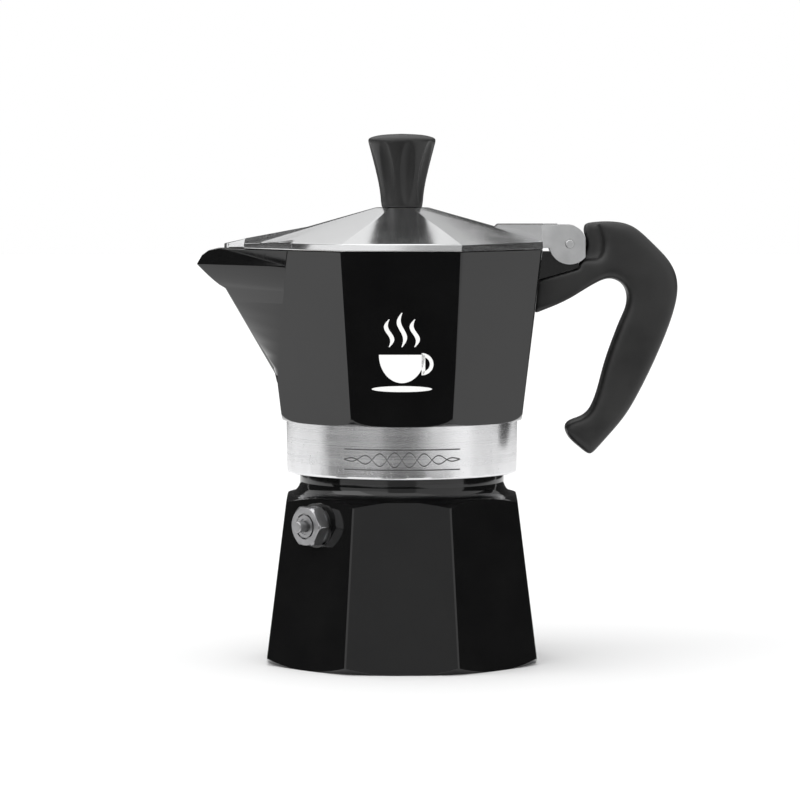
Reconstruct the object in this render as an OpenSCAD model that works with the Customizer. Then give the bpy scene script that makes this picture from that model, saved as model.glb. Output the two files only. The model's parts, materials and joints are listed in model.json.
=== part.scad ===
// Moka pot: a stove-top coffee maker in three screwed and hinged castings.
// +Z is up, the origin is at the middle of the foot, the spout points to -X and the handle to +X.

/* [Boiler] */
// Radius of the boiler's plain neck, which the collector screws over
neck_r = 32; // [26:0.1:39]
// Height of the boiler's shoulder above the table
shoulder_h = 52.4; // [43:0.1:64]
// Height of the neck above the shoulder
neck_h = 16.6; // [15:0.1:20]
// How far the flats stand outside the neck at the shoulder
shoulder_step = 3.8; // [3.1:0.1:4.6]
// Outward lean of the boiler's flats, for each mm down
boiler_lean = 0.124; // [0.1:0.002:0.15]
// How far the turned shoulder cuts down the corners between the flats
shoulder_drop = 1.9; // [1.5:0.1:2.4]
// Height of the chamfer that turns the foot round
foot_chamfer = 2.6; // [2:0.1:3.2]
// Boiler wall at the middle of a flat
boiler_wall = 3; // [2.4:0.1:3.6]
// Thickness of the boiler's floor
boiler_floor = 3.2; // [2.6:0.1:4]
// Radius where the floor meets the wall inside
floor_fillet = 4; // [3:0.5:5]
// Wall of the mouth under the thread
mouth_wall = 2.1; // [1.7:0.1:2.5]

/* [Screw thread] */
// Rise of the collector in one turn
pitch = 3; // [2.5:0.1:3.2]
// Depth of the thread
thread_depth = 1; // [0.8:0.05:1.2]
// Turns of thread on each casting
thread_turns = 1.8; // [1.5:0.1:2]
// Room between a thread's crest and the other's root
thread_gap = 0.3; // [0.2:0.05:0.4]
// Plain rim above the thread
thread_lead = 0.8; // [0.7:0.1:1]

/* [Funnel, gasket and filter] */
// Thickness of the funnel's and filter plate's sheet
sheet = 0.9; // [0.7:0.05:1.1]
// Room between the basket and the boiler's mouth
basket_gap = 0.4; // [0.3:0.1:0.6]
// Depth of the funnel's coffee basket
basket_depth = 18.5; // [15:0.5:22]
// Height of the cone between the basket and the stem
funnel_cone_h = 8.6; // [7:0.2:10]
// Outer radius of the funnel's stem
stem_r = 5.5; // [4.5:0.1:6.6]
// Height of the stem's foot over the boiler's floor
stem_lift = 2.8; // [2:0.2:4]
// Ledge that carries the sieve
sieve_ledge = 1.5; // [1.2:0.1:2]
// Radius of one sieve hole
sieve_hole_r = 0.8; // [0.6:0.1:0.9]
// Distance between rings of sieve holes
sieve_step = 4; // [3.4:0.1:4.4]
// Thickness of the gasket
gasket_t = 3; // [2.5:0.1:3.6]
// Width of the gasket's ring
gasket_w = 5.4; // [4.5:0.1:6.2]
// Overlap of the filter plate on the gasket
plate_lap = 1.6; // [1.2:0.1:2]
// Height of the filter plate's raised middle
plate_rise = 1.4; // [1:0.1:1.8]
// Room at each sealing face
seal_gap = 0.05; // [0.03:0.01:0.08]
// Room round the gasket and the plate
seat_gap = 0.35; // [0.3:0.05:0.45]

/* [Collector] */
// Height of the bare turned band
band_h = 16.3; // [14:0.1:18.6]
// How far the band reaches down over the boiler's neck
band_overlap = 9.7; // [9:0.1:11]
// Wall of the band outside the thread
band_wall = 3.85; // [3.2:0.05:4.6]
// Height of the faceted part
collector_h = 53.6; // [45:0.2:64]
// How far the flats stand outside the band at their foot
collector_step = 0.9; // [0.7:0.1:1.2]
// Outward flare of the collector's flats, for each mm up
collector_flare = 0.12; // [0.1:0.002:0.144]
// Wall of the faceted part
collector_wall = 2.5; // [2:0.1:3]
// Thickness of the floor over the filter plate's space
collector_floor = 3.2; // [2.6:0.1:3.8]
// Height of the space over the filter plate
plate_space = 3.4; // [3:0.1:4]
// Height of the rounding at the foot of the flats
heel_h = 5.4; // [4.6:0.1:6]
// Radius of the column at its foot
column_foot_r = 7.4; // [6.4:0.1:8.4]
// Radius of the column near its top
column_top_r = 4.9; // [4.6:0.1:5.8]
// Height of the column over the collector's floor
column_h = 34; // [28:0.5:40]
// Radius of the coffee's way up the column
column_bore_r = 3; // [2.5:0.1:3.4]
// Radius of the two outlets near the column's top
outlet_r = 2; // [1.6:0.1:2.3]

/* [Spout] */
// Reach of the spout beyond the rim's flats
spout_reach = 20.7; // [17:0.1:25]
// Half width of the spout where it leaves the rim
spout_half_w = 27.7; // [25:0.1:30]
// Height of the spout's foot over the band
spout_foot = 12.4; // [10:0.2:15]
// Drop from the rim to the bend under the lip
lip_bend_drop = 12.5; // [11:0.1:14]
// Drop from the rim to the lip's point
lip_drop = 4.9; // [4:0.1:5.6]
// Reach of the bend under the lip beyond the rim's flats
lip_bend_reach = 11.8; // [10:0.1:13]
// Radius of the spout's nose
nose_r = 2.4; // [2:0.1:3]

/* [Hinge] */
// Distance of the pin outside the rim's flats
hinge_out = 8.7; // [8.2:0.1:9.4]
// Height of the pin over the rim
hinge_up = 1.6; // [1.3:0.1:2]
// Radius of the hinge pin
hinge_pin_r = 1.33; // [1.1:0.01:1.6]
// Room for the lid's ears to turn on the pin
hinge_play = 0.06; // [0.03:0.01:0.1]
// Radius of the knuckle on the collector
knuckle_r = 5.3; // [4.6:0.1:5.5]
// Half width of the knuckle
knuckle_half_w = 4.6; // [3.9:0.1:5.4]
// Thickness of each ear
ear_t = 2.8; // [2.3:0.1:3.3]
// Room between each ear and the knuckle, along the pin
ear_gap = 0.4; // [0.3:0.05:0.5]

/* [Lid and knob] */
// Room between the lid and the rim
lid_gap = 0.3; // [0.2:0.05:0.4]
// Thickness of the lid's flange
flange_t = 2.2; // [1.8:0.1:2.6]
// Thickness of the lid's shell
lid_shell = 1.9; // [1.5:0.1:2.2]
// Rise of the lid, for each mm inward
lid_slope = 0.29; // [0.25:0.01:0.33]
// Radius of the flat that carries the knob
knob_seat_r = 8.2; // [7.6:0.1:9.4]
// Length of the lid's beak beyond the rim's flats
beak_reach = 5.4; // [4.5:0.1:6.4]
// Length of the beak's nose beyond the beak
nose_reach = 6.6; // [5.6:0.1:7.4]
// Half width of the nose
nose_half_w = 5; // [4.2:0.1:5.6]
// Height of the knob
knob_h = 23; // [20:0.2:27]
// Largest radius of the knob
knob_r = 10.5; // [9.4:0.1:12]
// Radius of the knob's foot
knob_foot_r = 6.3; // [5.6:0.1:7.2]
// Number of flutes round the knob
flutes = 8; // [6:1:10]
// Depth of each flute
flute_depth = 1.1; // [0.8:0.1:1.3]
// Radius of the knob's screw
knob_screw_r = 2; // [1.7:0.05:2.2]

/* [Handle] */
// Width of the grip
grip_w = 15.6; // [14:0.2:18]
// Half width of the handle's tongue beside the hinge
tongue_half_w = 4.6; // [3.8:0.1:4.8]
// Length of the collector's tang inside the handle
tang_l = 19; // [16:0.5:21]
// Height of the tang
tang_h = 4; // [3.4:0.1:4.4]
// Width of the tang
tang_w = 6.4; // [5.4:0.1:7.4]
// Room between the tang and the handle
tang_gap = 0.15; // [0.1:0.05:0.2]
// Radius of the handle's screw
handle_screw_r = 2; // [1.6:0.1:2.2]

/* [Safety valve] */
// Height of the valve over the table
valve_up = 44.6; // [42:0.1:44.8]
// Across the flats of the valve's hexagon
valve_af = 11.7; // [10.5:0.1:12.5]
// Thickness of the hexagon
valve_hex_t = 4; // [3.4:0.1:4.6]
// Radius of the valve's threaded shank
valve_shank_r = 4.2; // [4:0.1:4.6]
// Radius of the valve's bore
valve_bore_r = 3.1; // [3:0.05:3.3]
// Radius of the pin
valve_pin_r = 1.75; // [1.6:0.05:1.9]
// Room for the pin to slide in its bush
valve_play = 0.06; // [0.03:0.01:0.1]
// How far the pin stands out of the hexagon
valve_pin_out = 3.4; // [2.8:0.1:4]
// Travel of the pin
valve_travel = 1.8; // [1.2:0.1:2]
// Radius of the spring's wire
spring_wire_r = 0.28; // [0.22:0.01:0.3]

/* [Hidden] */

BLACK_GLOSS = [0.05, 0.05, 0.05];
BLACK_SATIN = [0.1, 0.1, 0.1];
ALUMINIUM = [0.8, 0.81, 0.82];
STEEL = [0.62, 0.63, 0.65];
BRASS = [0.72, 0.6, 0.33];
SILICONE = [0.92, 0.92, 0.9];

big_fn = 96;
mid_fn = 48;
small_fn = 32;
eps = 0.01;
corner = 1 / cos(22.5);

// Boiler
mouth_z = shoulder_h + neck_h;
foot_ap = neck_r + shoulder_step + boiler_lean * shoulder_h;
function boiler_ap(z) = foot_ap - boiler_lean * z;
crest_r = neck_r - 0.1;
root_r = crest_r - thread_depth;
mouth_r = root_r - mouth_wall;
thread_z = mouth_z - thread_lead - thread_turns * pitch;
plain_z = thread_z - 0.6 * pitch;
shoulder_fillet = shoulder_step + 0.2;

// Funnel, gasket and filter plate
basket_r = mouth_r - basket_gap;
basket_z = mouth_z - basket_depth;
flange_r = root_r - thread_gap;
gasket_z = mouth_z + sheet + seal_gap;
plate_z = gasket_z + gasket_t;
band_bore_r = neck_r + seat_gap;
gasket_r = band_bore_r - seat_gap;
plate_r = gasket_r - gasket_w + plate_lap;

// Collector
nut_crest_r = root_r + thread_gap;
band_z = mouth_z - band_overlap;
flats_z = band_z + band_h;
band_r = band_bore_r + band_wall;
rim_z = flats_z + collector_h;
function collector_ap(z) = band_r + collector_step + collector_flare * (z - flats_z);
rim_ap = collector_ap(rim_z);
seat_z = plate_z + seal_gap;
space_z = seat_z + plate_space;
floor_z = space_z + collector_floor;
column_z = floor_z + column_h;

// Hinge, lid and knob
hinge_x = rim_ap + hinge_out;
hinge_z = rim_z + hinge_up;
ear_in = knuckle_half_w + ear_gap;
ear_out = ear_in + ear_t;
ear_r = 4.9;
ear_top = 5.7;
ear_back = hinge_out - 0.1;
ear_foot_r = 6.4;
ear_sweep_r = norm([ear_back, ear_top]);
web_half_w = ear_in + 1.5;
web_top = hinge_z + ear_top + 0.3;
slot_x = rim_ap + 0.5;
lid_z = rim_z + lid_gap;
flange_z = lid_z + flange_t;
seat_top_z = flange_z + lid_slope * (rim_ap - knob_seat_r);
knob_z = seat_top_z + seal_gap;
boss_z = seat_top_z - 4.4;
washer_t = 0.8;
knob_bore_h = 9;
insert_r = knob_screw_r + 1.6;

// Spout: the crease on each slanting facet, from the collector's corner up to the rim
spout_low_z = flats_z + spout_foot;
spout_tip_x = -(rim_ap + spout_reach);
spout_proud = 0.12;
crease_top = [-(rim_ap * sqrt(2) - spout_half_w), spout_half_w];
crease_low = [-collector_ap(spout_low_z), collector_ap(spout_low_z) * tan(22.5)];

// Handle
tang_tilt = 20;
tang_x = rim_ap - 3;
tang_z = rim_z - 15;
handle_screw_at = 9;
handle_screw_head_r = handle_screw_r + 1.5;
handle_screw_head_h = 1.4;
handle_screw_web = 0.8;

// Valve, in distances along its axis from the pot's axis
valve_face = boiler_ap(valve_up) + 0.9;
valve_washer_t = 0.6;
hex_in = valve_face + valve_washer_t;
hex_out = hex_in + valve_hex_t;
valve_in = boiler_ap(valve_up) - boiler_wall - 2.2;
valve_seat = valve_in + 1;
seal_t = 1;
pin_disc_t = 1;
spring_in = valve_seat + seal_t + pin_disc_t;
bush_recess = 1.1;
bush_h = 2.2;
spring_out = hex_out - bush_recess - bush_h;
// As many turns as still leave the pin its travel
spring_turns = floor((spring_out - spring_in - valve_travel) / (2 * spring_wire_r));

// A point on a circle in the XY plane, lifted to z.
function ring_point(r, a, z) = [r * cos(a), r * sin(a), z];

// A Catmull-Rom curve through every point of the list, which starts and ends on its end points.
function curve_point(p, q, s, e, t) = 0.5 * ((2 * q) + (s - p) * t
  + (2 * p - 5 * q + 4 * s - e) * t * t + (3 * q - p - 3 * s + e) * t * t * t);
function curve(list, steps) = let (last = len(list) - 1)
  [for (i = [0:last - 1], k = [0:steps - 1])
    curve_point(list[max(i - 1, 0)], list[i], list[i + 1], list[min(i + 2, last)], k / steps),
    list[last]];

function arc(c, r, from, to, steps) =
  [for (i = [0:steps]) c + r * [cos(from + (to - from) * i / steps), sin(from + (to - from) * i / steps)]];

// A closed solid through rings of points, which all have the same number of points. Seen from the last
// ring, each runs clockwise.
module loft(rings) {
  n = len(rings[0]);
  last = len(rings) - 1;
  side = [for (i = [0:last - 1], k = [0:n - 1])
    let (a = i * n + k, b = i * n + (k + 1) % n)
    each [[a, b, b + n], [a, b + n, a + n]]];
  foot = [[for (k = [n - 1:-1:0]) k]];
  head = [[for (k = [0:n - 1]) last * n + k]];
  polyhedron(points = [for (ring = rings) each ring], faces = concat(side, foot, head));
}

// A ridge that climbs one pitch a turn round a wall and runs out at both ends.
module helical_ridge(wall_r, top_r) {
  steps = 48;
  run_out = 4;
  n = ceil(thread_turns * steps);
  function rise(i) = max(0.05, min(1, i / run_out, (n - i) / run_out));
  function section(i) = let (a = 360 * i / steps, z = pitch * i / steps,
      r = wall_r + (top_r - wall_r) * rise(i))
    [ring_point(wall_r, a, z - 0.28 * pitch), ring_point(r, a, z - 0.14 * pitch),
     ring_point(r, a, z + 0.14 * pitch), ring_point(wall_r, a, z + 0.28 * pitch)];
  rings = [for (i = [0:n]) section(i)];
  loft(top_r > wall_r ? rings : [for (s = rings) [s[3], s[2], s[1], s[0]]]);
}

// A frustum with eight flats, one of them facing -Y. The sizes are from the axis to a flat.
module octagon(ap_low, ap_top, h) {
  rotate([0, 0, 22.5])
    cylinder(r1 = ap_low * corner, r2 = ap_top * corner, h = h, $fn = 8);
}

// Turns +Z to point out of the boiler along the valve's axis.
module along_valve(d) {
  translate([0, 0, valve_up])
    rotate([0, 0, 225])
      rotate([0, 90, 0])
        translate([0, 0, d])
          children();
}

// Puts a shape drawn in XZ, with its origin on the hinge pin, in place at the given half width.
module beside_hinge(half_w) {
  translate([hinge_x, half_w, hinge_z])
    rotate([90, 0, 0])
      linear_extrude(height = 2 * half_w)
        children();
}

// A cylinder along the hinge pin, between two values of Y.
module on_hinge(r, from, to) {
  translate([hinge_x, to, hinge_z])
    rotate([90, 0, 0])
      cylinder(r = r, h = to - from, $fn = mid_fn);
}

// Holes on rings, the first at the middle.
module hole_rings(rings, r, h) {
  for (ring = [0:rings], i = [0:max(6 * ring - 1, 0)])
    rotate([0, 0, ring == 0 ? 0 : 60 * i / ring])
      translate([ring * sieve_step, 0, 0])
        cylinder(r = r, h = h, $fn = 16);
}

// Boiler --------------------------------------------------------------------------------------

// Turned outline: a chamfered foot, a cone that rounds the tops of the flats, a fillet and the neck.
function boiler_outline() = concat(
  [[0, 0], [foot_ap + 0.1, 0], [foot_ap * corner + 0.2, foot_chamfer]],
  [[boiler_ap(shoulder_h - shoulder_drop) * corner + 0.2, shoulder_h - shoulder_drop]],
  arc([neck_r + shoulder_fillet, shoulder_h + shoulder_fillet], shoulder_fillet, 270, 180, 10),
  [[neck_r, plain_z], [root_r, plain_z + 0.7], [root_r, mouth_z - 0.4], [root_r - 0.4, mouth_z]],
  [[0, mouth_z]]);

function cavity_r(z) = boiler_ap(z) - boiler_wall;
function boiler_cavity() = concat(
  [[0, boiler_floor]],
  arc([cavity_r(boiler_floor) - floor_fillet, boiler_floor + floor_fillet], floor_fillet, 270, 360, 6),
  [[cavity_r(shoulder_h - 2.4), shoulder_h - 2.4], [mouth_r, shoulder_h + 2.6]],
  [[mouth_r, mouth_z + 1], [0, mouth_z + 1]]);

module boiler() {
  color(BLACK_GLOSS)
    difference() {
      union() {
        intersection() {
          octagon(foot_ap, boiler_ap(mouth_z + 1), mouth_z + 1);
          rotate_extrude($fn = big_fn)
            polygon(boiler_outline());
        }
        translate([0, 0, thread_z])
          helical_ridge(root_r - 0.3, crest_r);
        along_valve(cavity_r(valve_up) + 0.6)
          cylinder(r = valve_af / 2 + 1, h = valve_face - cavity_r(valve_up) - 0.6, $fn = mid_fn);
      }
      rotate_extrude($fn = big_fn)
        polygon(boiler_cavity());
      along_valve(cavity_r(valve_up) - 3)
        cylinder(r = valve_shank_r + seal_gap, h = 10, $fn = small_fn);
    }
}

// Safety valve --------------------------------------------------------------------------------

module valve_body() {
  color(STEEL)
    difference() {
      union() {
        along_valve(valve_in)
          cylinder(r = valve_shank_r, h = hex_in - valve_in + eps, $fn = small_fn);
        intersection() {
          along_valve(hex_in)
            rotate([0, 0, 30])
              cylinder(r = valve_af / 2 / cos(30), h = valve_hex_t, $fn = 6);
          along_valve(hex_in)
            cylinder(r1 = valve_af / 2 + 4.4, r2 = valve_af / 2 - 0.1, h = valve_hex_t, $fn = mid_fn);
        }
      }
      along_valve(valve_seat)
        cylinder(r = valve_bore_r, h = hex_out, $fn = small_fn);
      along_valve(valve_in - 1)
        cylinder(r = 1.3, h = 3, $fn = small_fn);
      along_valve(hex_out - bush_recess)
        cylinder(r = valve_bore_r + 0.9, h = bush_recess + 1, $fn = small_fn);
    }
}

module valve_washer() {
  color(STEEL)
    along_valve(valve_face + 0.02)
      difference() {
        cylinder(r = valve_af / 2 + 0.3, h = valve_washer_t - 0.04, $fn = mid_fn);
        translate([0, 0, -1])
          cylinder(r = valve_shank_r + seal_gap, h = 3, $fn = small_fn);
      }
}

// The ring that guides the pin and holds the spring in. Its rim stands in the hexagon's recess.
module valve_bush() {
  color(STEEL)
    difference() {
      union() {
        along_valve(spring_out)
          cylinder(r = valve_bore_r - 0.02, h = bush_h + 0.5, $fn = small_fn);
        along_valve(spring_out + bush_h + 0.02)
          cylinder(r = valve_bore_r + 0.35, h = bush_recess, $fn = small_fn);
      }
      along_valve(spring_out - 1)
        cylinder(r = valve_pin_r + valve_play, h = 9, $fn = small_fn);
      along_valve(hex_out - 0.5)
        cylinder(r = valve_bore_r - 0.6, h = 2, $fn = small_fn);
    }
}

module valve_spring() {
  sides = 6;
  steps = 16;
  mid_r = (valve_bore_r + valve_pin_r) / 2;
  n = spring_turns * steps;
  from = spring_in + spring_wire_r + 0.06;
  length = spring_out - spring_in - 2 * spring_wire_r - 0.12;
  rings = [for (i = [0:n])
    [for (k = [0:sides - 1])
      ring_point(mid_r + spring_wire_r * cos(60 * k), 360 * i / steps,
        length * i / n + spring_wire_r * sin(60 * k))]];
  color(STEEL)
    along_valve(from)
      loft(rings);
}

// A disc that the spring pushes inward and a stem that shows outside.
module valve_pin() {
  color(STEEL)
    union() {
      along_valve(valve_seat + seal_t)
        cylinder(r = valve_bore_r - 0.2, h = pin_disc_t, $fn = small_fn);
      along_valve(spring_in - eps)
        cylinder(r = valve_pin_r, h = hex_out + valve_pin_out - spring_in - 0.3 + eps, $fn = small_fn);
      along_valve(hex_out + valve_pin_out - 0.3)
        cylinder(r1 = valve_pin_r, r2 = valve_pin_r - 0.3, h = 0.3, $fn = small_fn);
    }
}

module valve_seal() {
  color(SILICONE)
    along_valve(valve_seat + seal_gap)
      cylinder(r = valve_bore_r - 0.3, h = seal_t - seal_gap, $fn = small_fn);
}

// Funnel, gasket and filter plate ---------------------------------------------------------------

module funnel() {
  inner_r = basket_r - sheet;
  stem_in = stem_r - sheet;
  cone_z = basket_z - funnel_cone_h;
  foot_z = boiler_floor + stem_lift;
  color(ALUMINIUM)
    rotate_extrude($fn = big_fn)
      polygon([[flange_r, mouth_z], [flange_r, mouth_z + sheet], [inner_r, mouth_z + sheet],
        [inner_r, basket_z], [inner_r - sieve_ledge, basket_z], [inner_r - sieve_ledge, basket_z - 0.6],
        [stem_in, cone_z], [stem_in, foot_z], [stem_r, foot_z], [stem_r, cone_z - 0.6],
        [basket_r, basket_z - 1.2], [basket_r, mouth_z]]);
}

module funnel_sieve() {
  sieve_r = basket_r - sheet - 0.1;
  color(ALUMINIUM)
    translate([0, 0, basket_z + 0.02])
      difference() {
        cylinder(r = sieve_r, h = sheet, $fn = big_fn);
        translate([0, 0, -1])
          hole_rings(floor((sieve_r - sieve_ledge - 2) / sieve_step), sieve_hole_r, 3);
      }
}

module gasket() {
  color(SILICONE)
    rotate_extrude($fn = big_fn)
      translate([gasket_r - gasket_w, gasket_z])
        square([gasket_w, gasket_t]);
}

module filter_plate() {
  step_r = plate_r - plate_lap - 2;
  color(ALUMINIUM)
    difference() {
      translate([0, 0, plate_z + 0.02])
        rotate_extrude($fn = big_fn)
          polygon([[step_r, 0], [plate_r, 0], [plate_r, sheet], [step_r, sheet],
            [step_r - 1.4, sheet + plate_rise], [0, sheet + plate_rise], [0, plate_rise],
            [step_r - 1.8, plate_rise]]);
      translate([0, 0, plate_z - 1])
        hole_rings(floor((step_r - 3) / sieve_step), sieve_hole_r, 6);
    }
}

// Collector -------------------------------------------------------------------------------------

// The front edge of the spout at a height: straight up from the foot to the bend, then out to the lip.
function nose_x(z) = let (bend_z = rim_z - lip_bend_drop, tip_z = rim_z - lip_drop,
    bend_x = -(rim_ap + lip_bend_reach), foot_x = -collector_ap(spout_low_z) - spout_proud)
  z <= bend_z ? foot_x + (bend_x - foot_x) * (z - spout_low_z) / (bend_z - spout_low_z)
    : bend_x + (spout_tip_x - bend_x) * min(1, pow((z - bend_z) / (tip_z - bend_z), 0.8));

// One level of the surface that shapes the spout: far behind it, the two creases, and the nose between.
function spout_level(z, inset) =
  let (t = (z - spout_low_z) / (rim_z - spout_low_z),
    side = crease_low + (crease_top - crease_low) * t + (inset - spout_proud) * [0.7, -0.7],
    r = max(nose_r - 0.7 * inset, 0.6),
    c = nose_x(z) + 1.3 * inset + r,
    half = atan2(side[1], side[0] - c) * 0.5 + 5,
    arc_steps = 5)
  [[90, -90, z], [side[0], -90, z], [side[0], -side[1], z],
   for (i = [-arc_steps:arc_steps]) let (a = 180 - i * half / arc_steps) [c + r * cos(a), r * sin(a), z],
   [side[0], side[1], z], [side[0], 90, z], [90, 90, z]];

// All that lies inside the spout's surface. Under the spout's foot it stands clear of the flats.
module inside_spout(inset) {
  bend_z = rim_z - lip_bend_drop;
  heights = [for (k = [0:6]) spout_low_z + k * (bend_z - spout_low_z) / 7,
    for (k = [0:6]) bend_z + k * (rim_z - lip_drop - bend_z) / 6, rim_z + 2];
  under = [for (q = spout_level(spout_low_z, inset)) [q[0] < 0 ? q[0] - 12 : q[0], q[1] * 1.3, q[2] - 20]];
  loft(concat([under], [for (z = heights) spout_level(z, inset)]));
}

// What the spout adds in front of the flats, before its surface trims it.
module spout_block(inset) {
  low = crease_low[1] - inset - 0.6;
  top = crease_top[1] - inset - 0.6;
  loft([for (q = [[spout_low_z + 0.05, low], [rim_z + 2, top]])
    [[-20, -q[1], q[0]], [-90, -q[1], q[0]], [-90, q[1], q[0]], [-20, q[1], q[0]]]]);
}

// What the top of the lip slopes down to, drawn from the side.
module lip_top() {
  translate([0, 40, 0])
    rotate([90, 0, 0])
      linear_extrude(height = 80)
        polygon([[spout_tip_x - 5, rim_z - lip_drop], [spout_tip_x + 0.05, rim_z - lip_drop],
          [spout_tip_x + 1.7, rim_z - 2.1], [spout_tip_x + 3.6, rim_z - 0.7], [spout_tip_x + 8, rim_z + 0.3],
          [spout_tip_x + 8, rim_z + 9], [spout_tip_x - 5, rim_z + 9]]);
}

// The rounding that takes the flats' corners in to the band.
function collector_trim() = concat(
  [[0, flats_z]],
  [for (a = [0:10:90]) [band_r + 0.2 + (collector_ap(flats_z) * corner - band_r + 0.7) * sin(a),
    flats_z + heel_h * (1 - cos(a))]],
  [[90, flats_z + heel_h + 3], [90, rim_z], [0, rim_z]]);

// The rib that carries the knuckle, drawn from the side with its origin on the pin.
module rib_side() {
  polygon([[-hinge_out - 2.6, -hinge_up - 1], [-4.8, -hinge_up - 1], [0, 0], [2.6, -4.6], [3.2, -7.4],
    [-8.6, -10.9], [-hinge_out - 2.6, -12]]);
}

module on_tang() {
  translate([tang_x, 0, tang_z])
    rotate([0, -tang_tilt, 0])
      children();
}

module collector() {
  color(BLACK_GLOSS)
    difference() {
      union() {
        // Band
        rotate_extrude($fn = big_fn)
          polygon([[0, band_z], [band_r - 0.9, band_z], [band_r - 0.4, band_z + 0.2],
            [band_r - 0.25, band_z + 0.8], [band_r, flats_z + 0.5], [0, flats_z + 0.5]]);
        // Faceted part
        difference() {
          intersection() {
            union() {
              translate([0, 0, flats_z])
                octagon(collector_ap(flats_z), collector_ap(rim_z + 2), collector_h + 2);
              spout_block(0);
            }
            inside_spout(0);
            rotate_extrude($fn = big_fn)
              polygon(collector_trim());
          }
          lip_top();
        }
        // Hinge knuckle and tang
        on_hinge(knuckle_r, -knuckle_half_w, knuckle_half_w);
        beside_hinge(knuckle_half_w - 0.2)
          rib_side();
        on_tang()
          translate([0, -tang_w / 2, -tang_h / 2])
            cube([tang_l, tang_w, tang_h]);
      }
      // Coffee space and the spout's channel
      difference() {
        intersection() {
          union() {
            translate([0, 0, floor_z])
              octagon(collector_ap(floor_z) - collector_wall, collector_ap(rim_z + 1) - collector_wall,
                rim_z + 1 - floor_z);
            spout_block(collector_wall);
          }
          inside_spout(collector_wall);
        }
        rotate_extrude($fn = mid_fn)
          polygon([[0, floor_z - 1], [column_foot_r, floor_z - 1], [column_foot_r, floor_z + 1],
            [column_top_r, column_z - column_top_r], for (a = [30, 60])
              [column_top_r * cos(a), column_z - column_top_r + column_top_r * sin(a)], [0, column_z]]);
      }
      // Thread bore, seats and the space over the filter plate
      rotate_extrude($fn = big_fn)
        polygon([[0, band_z - 1], [band_bore_r + 0.6, band_z - 1], [band_bore_r + 0.6, band_z],
          [band_bore_r, band_z + 0.6], [band_bore_r, seat_z], [plate_r + seat_gap, seat_z],
          [plate_r + seat_gap, seat_z + sheet + 0.1], [plate_r - 2.2, space_z], [0, space_z]]);
      // The way up the column and its two outlets
      translate([0, 0, space_z - 1])
        cylinder(r = column_bore_r, h = column_z - 2.7 - space_z + 1, $fn = mid_fn);
      translate([0, 12, column_z - 3.5 - outlet_r])
        rotate([90, 0, 0])
          cylinder(r = outlet_r, h = 24, $fn = small_fn);
      // Hinge pin and handle screw
      on_hinge(hinge_pin_r + 0.02, -20, 20);
      on_tang()
        translate([handle_screw_at, 0, -20])
          cylinder(r = handle_screw_r + 0.02, h = 20 + tang_h / 2 + 0.3, $fn = small_fn);
    }
  color(ALUMINIUM)
    translate([0, 0, thread_z])
      rotate([0, 0, 180])
        helical_ridge(band_bore_r + 0.3, nut_crest_r);
}

// Handle ----------------------------------------------------------------------------------------

// Outline from the side, with its origin on the hinge pin. It runs over the back of the grip to its
// point, round the heel, up the front of the grip and along the underside of the arm to the collector.
function handle_back() = curve([[4.9, 6.3], [10.3, 6.8], [16.6, 6.5], [21, 4.7], [27.2, -1], [31.4, -5.6],
  [33.6, -10.4], [33.8, -16], [31.6, -24.5], [26.6, -36.8], [21, -48.1], [16.2, -55.6], [6.6, -66.5]], 5);
function handle_front() = curve([[0.2, -61.2], [-1.5, -58.4], [-0.5, -55.9], [5.3, -53.7], [8.4, -48.1],
  [11.5, -36.8], [15.6, -25.5], [18.3, -19], [17.6, -13.7], [13.4, -10.8], [8.8, -12], [-1.6, -17.9],
  [-hinge_out - 3.5, -22.4]], 5);

module handle() {
  color(BLACK_SATIN)
    difference() {
      beside_hinge(grip_w / 2)
        polygon(concat(handle_back(), handle_front(),
          [[-hinge_out - 3.5, -12.6], [-8.6, -11.3], [3.1, -7.9]]));
      // Room for the knuckle, and for the ears as the lid turns
      on_hinge(knuckle_r + 0.3, -20, 20);
      for (side = [-1, 1])
        translate([0, side * (tongue_half_w + 10), 0]) {
          on_hinge(ear_foot_r + 0.4, -10, 10);
          intersection() {
            on_hinge(ear_sweep_r + 0.5, -10, 10);
            translate([hinge_x - 20, -10, hinge_z - 5])
              cube([40, 20, 30]);
          }
        }
      // Collector's flat, tang and screw
      translate([0, 0, flats_z])
        octagon(collector_ap(flats_z) + 0.08, rim_ap + 0.08, collector_h);
      on_tang()
        translate([0, -tang_w / 2 - tang_gap, -tang_h / 2 - tang_gap])
          cube([tang_l + tang_gap, tang_w + 2 * tang_gap, tang_h + 2 * tang_gap]);
      on_tang()
        translate([handle_screw_at, 0, -15]) {
          cylinder(r = handle_screw_r + 0.3, h = 15, $fn = small_fn);
          cylinder(r = handle_screw_head_r + 0.2, h = 15 - tang_h / 2 - handle_screw_web, $fn = small_fn);
        }
      // The knuckle's rib
      beside_hinge(knuckle_half_w)
        offset(delta = 0.2)
          rib_side();
    }
}

module handle_screw() {
  head_at = -tang_h / 2 - handle_screw_web - handle_screw_head_h;
  color(STEEL)
    on_tang()
      difference() {
        union() {
          translate([handle_screw_at, 0, head_at + handle_screw_head_h - 0.1])
            cylinder(r = handle_screw_r, h = handle_screw_web + tang_h - 0.2, $fn = small_fn);
          translate([handle_screw_at, 0, head_at])
            cylinder(r = handle_screw_head_r, h = handle_screw_head_h - 0.02, $fn = small_fn);
        }
        translate([handle_screw_at - 10, -0.5, head_at - 1])
          cube([20, 1, 1.9]);
      }
}

module hinge_pin() {
  color(STEEL)
    on_hinge(hinge_pin_r, -ear_out - 0.1, ear_out + 0.1);
}

// Lid and knob ----------------------------------------------------------------------------------

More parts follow.
